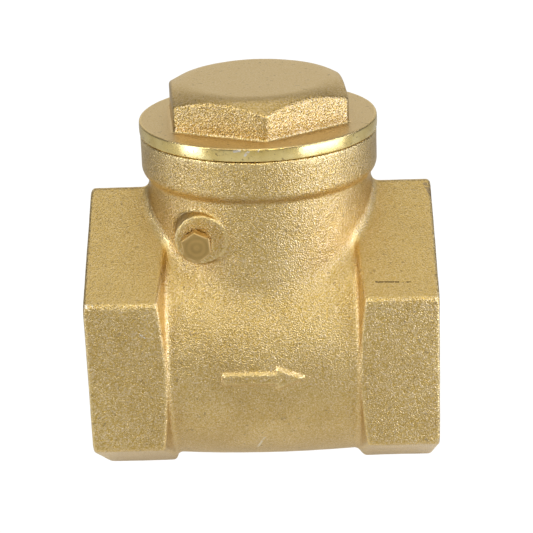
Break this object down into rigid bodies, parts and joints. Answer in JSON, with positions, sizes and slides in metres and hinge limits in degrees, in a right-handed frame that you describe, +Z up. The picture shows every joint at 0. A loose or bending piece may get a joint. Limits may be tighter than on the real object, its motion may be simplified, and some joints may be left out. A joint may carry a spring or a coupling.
{
  "type": "swing check valve",
  "caption": "Swing check valve: cast brass body with hexagonal female threaded ends, screwed hexagon bonnet and a hinged disc inside.",
  "frame": {"origin": "where the pipe axis crosses the bonnet axis", "axes": "+X along the flow from inlet to outlet, +Z up along the bonnet axis, -Y towards the hinge-pin plug and the flow arrow"},
  "size_m": [0.088, 0.069, 0.1078],
  "materials": {
    "blasted_brass": "shot-blasted, satin",
    "machined_brass": "turned, bright",
    "stainless_steel": "turned",
    "nitrile_rubber": "moulded, matt",
    "sealing_fibre": "pressed sheet, matt"
  },
  "bodies": {
    "valve_body": {"valve_body": "blasted_brass", "hinge_pin": "stainless_steel"},
    "flap": {"swing_arm": "machined_brass"},
    "disc_set": {"disc": "machined_brass", "disc_seal": "nitrile_rubber", "seal_retainer": "stainless_steel", "retainer_screw": "stainless_steel", "disc_washer": "stainless_steel", "disc_nut": "machined_brass", "split_pin": "stainless_steel"},
    "bonnet_seal": {"bonnet_gasket": "sealing_fibre"},
    "bonnet": {"bonnet_cap": "blasted_brass"},
    "plug_washer": {"plug_seal": "sealing_fibre"},
    "plug": {"pin_plug": "machined_brass"}
  },
  "joints": [
    {"name": "flap_swing", "type": "hinge", "parent": "valve_body", "child": "flap", "pos_m": [-0.0154, 0, 0.0333], "axis": [0, -1, 0], "range_deg": [0, 50]},
    {"name": "disc_spin", "type": "hinge", "parent": "flap", "child": "disc_set", "pos_m": [-0.00852, 0, 0.00095], "axis": [0.9781, 0, 0.2079], "continuous": true},
    {"name": "bonnet_lift", "type": "slide", "parent": "valve_body", "child": "bonnet_seal", "axis": [0, 0, 1], "range_m": [0, 0.01]},
    {"name": "bonnet_turn", "type": "hinge", "parent": "bonnet_seal", "child": "bonnet", "pos_m": [0, 0, 0.055], "axis": [0, 0, 1], "range_deg": [0, 1800]},
    {"name": "plug_out", "type": "slide", "parent": "valve_body", "child": "plug_washer", "axis": [0, -1, 0], "range_m": [0, 0.005]},
    {"name": "plug_turn", "type": "hinge", "parent": "plug_washer", "child": "plug", "pos_m": [-0.0154, -0.0276, 0.0333], "axis": [0, -1, 0], "range_deg": [0, 1800]}
  ],
  "couplings": [
    {"joint": "bonnet_lift", "follows": "bonnet_turn", "m_per_rad": 0.00031831},
    {"joint": "plug_turn", "follows": "plug_out", "rad_per_m": 6283.2}
  ]
}
